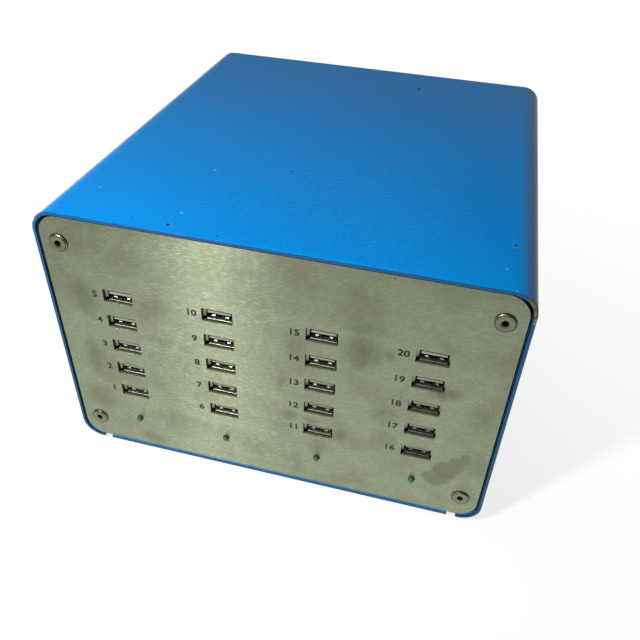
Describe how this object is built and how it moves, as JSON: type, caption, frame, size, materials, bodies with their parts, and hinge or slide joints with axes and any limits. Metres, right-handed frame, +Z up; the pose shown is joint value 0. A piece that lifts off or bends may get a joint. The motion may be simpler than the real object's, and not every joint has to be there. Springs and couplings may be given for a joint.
{
  "type": "usb flash drive duplicator",
  "caption": "Desktop duplicator for USB flash drives: blue sheet-metal case, brushed steel front with columns of USB sockets and a green lamp under each, fan, mains inlet and switch behind.",
  "frame": {"origin": "on the table under the feet, at the middle of the box that holds the whole object", "axes": "+X to the right seen from the front, +Y from the front panel to the rear panel, +Z up"},
  "size_m": [0.224, 0.2418, 0.15],
  "materials": {
    "blue_paint": "glossy blue enamel, slightly orange-peeled, chipped at the front corners",
    "brushed_stainless": "stainless steel brushed sideways, stained and finely scratched",
    "rear_sheet": "satin",
    "screw_steel": "satin stainless",
    "rail_aluminium": "mill finish",
    "foot_rubber": "matte",
    "circuit_board": "green solder mask",
    "lamp_lens": "tinted clear epoxy, unlit",
    "socket_shell": "nickel-plated steel",
    "supply_case": "zinc-plated sheet",
    "black_plastic": "moulded, fine texture",
    "rocker_plastic": "polished mould",
    "guard_wire": "nickel-plated wire"
  },
  "bodies": {
    "case": {"cover": "blue_paint", "base_plate": "blue_paint", "front_panel": "brushed_stainless", "rear_panel": "rear_sheet", "front_screw_top_left": "screw_steel", "front_screw_top_right": "screw_steel", "front_screw_bottom_left": "screw_steel", "front_screw_bottom_right": "screw_steel", "rear_screw_top_left": "screw_steel", "rear_screw_top_right": "screw_steel", "rear_screw_bottom_left": "screw_steel", "rear_screw_bottom_right": "screw_steel", "upper_left_rail": "rail_aluminium", "upper_right_rail": "rail_aluminium", "lower_left_rail": "rail_aluminium", "lower_right_rail": "rail_aluminium", "foot_front_left": "foot_rubber", "foot_front_right": "foot_rubber", "foot_rear_left": "foot_rubber", "foot_rear_right": "foot_rubber", "port_board_1": "circuit_board", "port_board_2": "circuit_board", "port_board_3": "circuit_board", "port_board_4": "circuit_board", "led_1": "lamp_lens", "led_2": "lamp_lens", "led_3": "lamp_lens", "led_4": "lamp_lens", "usb_port_01": "socket_shell", "usb_port_02": "socket_shell", "usb_port_03": "socket_shell", "usb_port_04": "socket_shell", "usb_port_05": "socket_shell", "usb_port_06": "socket_shell", "usb_port_07": "socket_shell", "usb_port_08": "socket_shell", "usb_port_09": "socket_shell", "usb_port_10": "socket_shell", "usb_port_11": "socket_shell", "usb_port_12": "socket_shell", "usb_port_13": "socket_shell", "usb_port_14": "socket_shell", "usb_port_15": "socket_shell", "usb_port_16": "socket_shell", "usb_port_17": "socket_shell", "usb_port_18": "socket_shell", "usb_port_19": "socket_shell", "usb_port_20": "socket_shell", "main_board": "circuit_board", "power_supply": "supply_case", "fan_frame": "black_plastic", "fan_guard": "guard_wire", "power_inlet": "black_plastic", "power_switch_body": "black_plastic", "host_socket": "socket_shell"},
    "rocker": {"power_rocker": "rocker_plastic"},
    "rotor": {"fan_rotor": "black_plastic"}
  },
  "joints": [
    {"name": "rocker_tilt", "type": "hinge", "parent": "case", "child": "rocker", "pos_m": [0.062, 0.1145, 0.0795], "axis": [1, 0, 0], "range_deg": [0, 16]},
    {"name": "fan_spin", "type": "hinge", "parent": "case", "child": "rotor", "pos_m": [-0.05, 0.1059, 0.0945], "axis": [0, 1, 0], "continuous": true}
  ]
}
